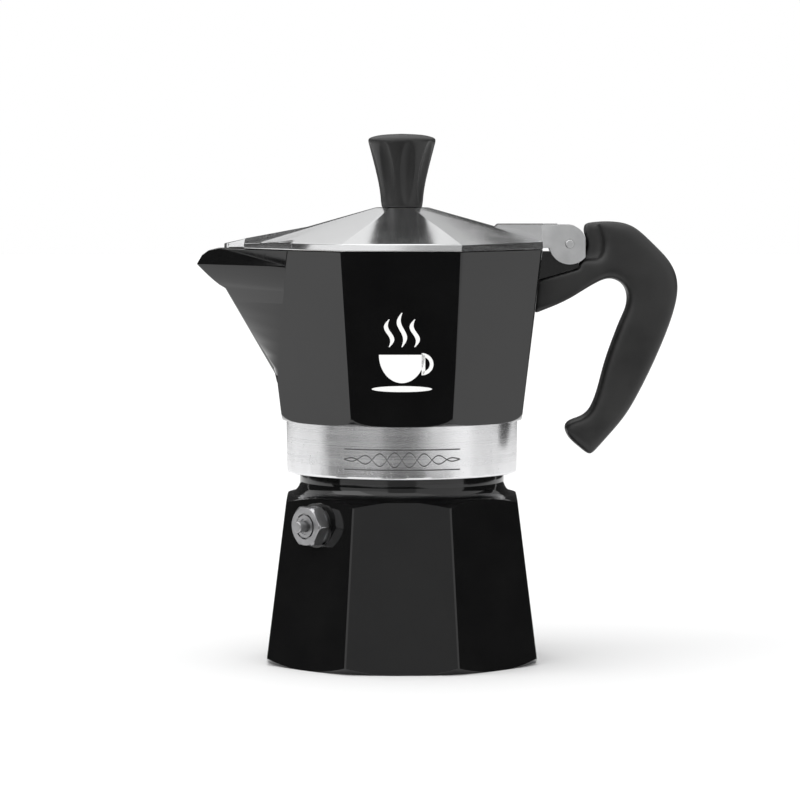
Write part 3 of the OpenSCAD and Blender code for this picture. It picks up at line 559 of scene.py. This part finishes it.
def make_collector():
    piece = copy_of("collector", "collector_casting")
    round_edges(piece, lambda a, b, angle: angle > 30 and is_ridge(a, b, collector_flat)
                and a.x > -30 * MM, 0.9 * MM, 4)
    smooth(piece, 28)
    finish_faces(piece, enamel, (band_metal, lambda c, n: c.z < BAND_TOP_Z),
                 (cast_metal, is_inside), (lid_metal, is_lip))
    stands_for(piece, "collector", "black_enamel", "collector")


# Lid, knob and handle ------------------------------------------------------------------------

def make_lid():
    # The ledge at the rim's top is 0.03 mm wide, too narrow to carry a rounding on both its edges
    piece = copy_of("lid", "lid_casting", 0.04 * MM)
    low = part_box("lid")[0][2]
    round_edges(piece, lambda a, b, angle: angle > 9 and min(a.z, b.z) > low + 0.5 * MM
                and (a - b).length > 2.5 * MM and max(a.x, b.x) < 43 * MM, 0.3 * MM, 3)
    smooth(piece, 24)
    finish_faces(piece, lid_metal, (cast_metal, lambda c, n: n.z < -0.3 and c.x < 44 * MM),
                 (satin_metal, lambda c, n: c.x > 43.6 * MM))
    stands_for(piece, "lid", "aluminium", "lid")


def make_knob():
    piece = copy_of("knob", "fluted_knob")
    melt(piece, 0.3 * MM, 5)
    finish_faces(piece, plastic)
    stands_for(piece, "lid", "black_plastic", "knob")


def grip_share(point):
    """0 beside the collector and the hinge, and 1 along the grip."""
    outwards = (point.x - 54 * MM) / (12 * MM)
    downwards = (112 * MM - point.z) / (8 * MM)
    return min(max(outwards, downwards, 0.0), 1.0)


def make_handle():
    piece = copy_of("handle", "grip")
    melt(piece, 0.5 * MM, 8, 130, grip_share)
    finish_faces(piece, plastic)
    stands_for(piece, "collector", "black_plastic", "handle")


def join_to(piece, others):
    """Joins the other pieces into this one."""
    pick(piece)
    for other in others:
        other.select_set(True)
    bpy.ops.object.join()


def flat_disc(name, radius, squash, centre, keep=None):
    """A flat disc in XY, squashed along Y, with a bisected part of it kept."""
    bpy.ops.object.select_all(action="DESELECT")
    bpy.ops.mesh.primitive_circle_add(vertices=64, radius=radius, fill_type="NGON")
    disc = bpy.context.object
    disc.name = name
    bpy.ops.object.mode_set(mode="EDIT")
    bpy.ops.mesh.select_all(action="SELECT")
    bpy.ops.transform.resize(value=(1, squash, 1))
    bpy.ops.transform.translate(value=(centre[0], centre[1], 0))
    if keep:
        bpy.ops.mesh.bisect(plane_co=(centre[0], centre[1], 0), plane_no=(*keep, 0), clear_inner=True)
    bpy.ops.object.mode_set(mode="OBJECT")
    return disc


def make_cup_mark():
    """A plain steaming cup, painted on the front flat."""
    bowl = flat_disc("cup_mark", 7.0 * MM, 1.25, (0, 0), (0, -1))
    saucer = flat_disc("saucer", 9.2 * MM, 0.1, (0, -10.6 * MM))
    ear = flat_disc("ear", 3.6 * MM, 0.95, (6.0 * MM, -2.9 * MM), (1, 0))
    pick(ear)
    bpy.ops.object.mode_set(mode="EDIT")
    bpy.ops.mesh.select_all(action="SELECT")
    bpy.ops.mesh.inset(thickness=1.1 * MM, depth=0)
    bpy.ops.mesh.delete(type="FACE")
    bpy.ops.object.mode_set(mode="OBJECT")
    wisps = []
    for index, x in enumerate((-3.9, 0.0, 3.9)):
        bpy.ops.object.select_all(action="DESELECT")
        bpy.ops.mesh.primitive_grid_add(x_subdivisions=2, y_subdivisions=28, size=1)
        wisp = bpy.context.object
        wisp.name = "wisp"
        tall = (10.5 if index == 1 else 8.5) * MM
        for corner in wisp.data.vertices:
            up = corner.co.y + 0.5
            thin = math.sin(math.pi * min(max(up, 0.03), 0.97)) ** 0.6
            sway = 0.95 * MM * math.sin(2 * math.pi * up)
            corner.co = (corner.co.x * 1.5 * MM * thin + sway + x * MM, 2.4 * MM + up * tall, 0)
        wisps.append(wisp)
    join_to(bowl, [saucer, ear, *wisps])
    bpy.ops.object.mode_set(mode="EDIT")
    bpy.ops.mesh.select_all(action="SELECT")
    bpy.ops.mesh.extrude_region_move(TRANSFORM_OT_translate={"value": (0, 0, 0.1 * MM)})
    bpy.ops.mesh.select_all(action="SELECT")
    bpy.ops.transform.translate(value=(0, 0, -0.06 * MM))
    bpy.ops.mesh.normals_make_consistent(inside=False)
    bpy.ops.object.mode_set(mode="OBJECT")
    height = 98 * MM
    bowl.rotation_euler = (math.radians(90) + math.atan(COLLECTOR_FLARE), 0, 0)
    bowl.location = (0, -collector_flat(height), height)
    bpy.ops.object.transform_apply(location=True, rotation=True, scale=True)
    finish_faces(bowl, white_paint)
    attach(bowl, "collector")


def make_valve():
    piece = copy_of("valve_body", "valve_hexagon")
    round_edges(piece, lambda a, b, angle: angle > 25 and (a - b).length > 1.5 * MM, 0.18 * MM, 2)
    smooth(piece, 24)
    finish_faces(piece, steel)
    stands_for(piece, "boiler", "steel", "valve_body")


def make_hinge_pin():
    piece = copy_of("hinge_pin", "hinge_pin_rounded")
    round_edges(piece, lambda a, b, angle: angle > 60, 0.3 * MM, 3)
    smooth(piece, 40)
    finish_faces(piece, satin_metal)
    stands_for(piece, "collector", "steel", "hinge_pin")


make_boiler()
make_collector()
make_hinge_pin()
make_cup_mark()
make_valve()
make_lid()
make_knob()
make_handle()

# CAD nodes that keep their own shape get their finish here
for names, finish in ((("valve_bush", "valve_pin", "valve_spring", "valve_washer", "handle_screw",
                        "knob_screw", "knob_washer"), steel),
                      (("knob_insert",), brass),
                      (("funnel", "funnel_sieve", "filter_plate"), sheet_metal),
                      (("gasket", "valve_seal"), silicone)):
    for name in names:
        mesh = cad[name].data
        mesh.materials.clear()
        mesh.materials.append(finish)


# Stage, light and camera ---------------------------------------------------------------------

def make_card(name, size, place, turn, grey):
    """A flat card that only reflections see."""
    bpy.ops.object.select_all(action="DESELECT")
    bpy.ops.mesh.primitive_plane_add(size=1, location=place, rotation=turn)
    card = bpy.context.object
    card.name = name
    card.scale = (size[0], size[1], 1)
    material = bpy.data.materials.new(name)
    material.use_nodes = True
    tree = material.node_tree
    tree.nodes.clear()
    out = tree.nodes.new("ShaderNodeOutputMaterial")
    light = tree.nodes.new("ShaderNodeEmission")
    light.inputs["Color"].default_value = (grey, grey, grey, 1)
    tree.links.new(light.outputs[0], out.inputs["Surface"])
    card.data.materials.append(material)
    card.visible_camera = False
    card.visible_diffuse = False
    card.visible_shadow = False
    card.visible_transmission = False


def make_stage():
    bpy.ops.object.select_all(action="DESELECT")
    bpy.ops.mesh.primitive_plane_add(size=8, location=(0, 0, 0))
    floor = bpy.context.object
    floor.name = "floor"
    material, tree, shader, place = new_finish("Pale floor", (0.9, 0.9, 0.9), Roughness=0.7)
    floor.data.materials.append(material)
    upright = math.radians(90)
    make_card("front_card", (1.0, 1.2), (0, -1.75, 0.6), (upright, 0, 0), 0.5)
    make_card("dark_ground", (0.62, 1.2), (0, -0.78, 0.002), (0, 0, 0), 0.02)
    make_card("dark_ground_left", (1.0, 0.75), (-0.66, -0.47, 0.0025), (0, 0, 0), 0.02)
    make_card("back_low_card", (2.0, 0.5), (0, 0.9, 0.25), (upright, 0, 0), 0.05)
    make_card("left_card", (1.5, 0.6), (-1.3, 0.35, 0.3), (upright, 0, upright), 0.04)
    make_card("right_card", (1.5, 0.6), (1.3, 0.35, 0.3), (upright, 0, upright), 0.04)
    make_card("back_card", (1.1, 0.9), (0.6, 1.2, 0.95), (math.radians(60), 0, 0), 0.6)


def make_light(name, place, size, power):
    bpy.ops.object.light_add(type="AREA", location=place)
    light = bpy.context.object
    light.name = name
    light.data.shape = "RECTANGLE"
    light.data.size, light.data.size_y = size
    light.data.energy = power
    light.rotation_euler = (Vector((0, 0, 0.08)) - Vector(place)).to_track_quat("-Z", "Y").to_euler()


make_stage()
make_light("soft_left", (-1.3, -0.5, 1.1), (1.2, 1.2), 5)
bpy.ops.object.light_add(type="SUN", location=(0, 0, 2), rotation=(0.35, -0.3, 0))
bpy.context.object.name = "broad_light"
bpy.context.object.data.energy = 0.9
bpy.context.object.data.angle = 1.6

world = bpy.data.worlds.new("White room")
bpy.context.scene.world = world
world.use_nodes = True
world.node_tree.nodes["Background"].inputs["Color"].default_value = (1, 1, 1, 1)
world.node_tree.nodes["Background"].inputs["Strength"].default_value = 1.0
bpy.context.scene.view_settings.view_transform = "Standard"

bpy.ops.object.camera_add(location=(0, -1.322, 0.169))
camera = bpy.context.object
camera.data.lens = 190
camera.data.sensor_width = 36
camera.data.clip_end = 50
camera.rotation_euler = (Vector((-0.0006, 0, 0.0816)) - camera.location).to_track_quat("-Z", "Y").to_euler()
bpy.context.scene.camera = camera
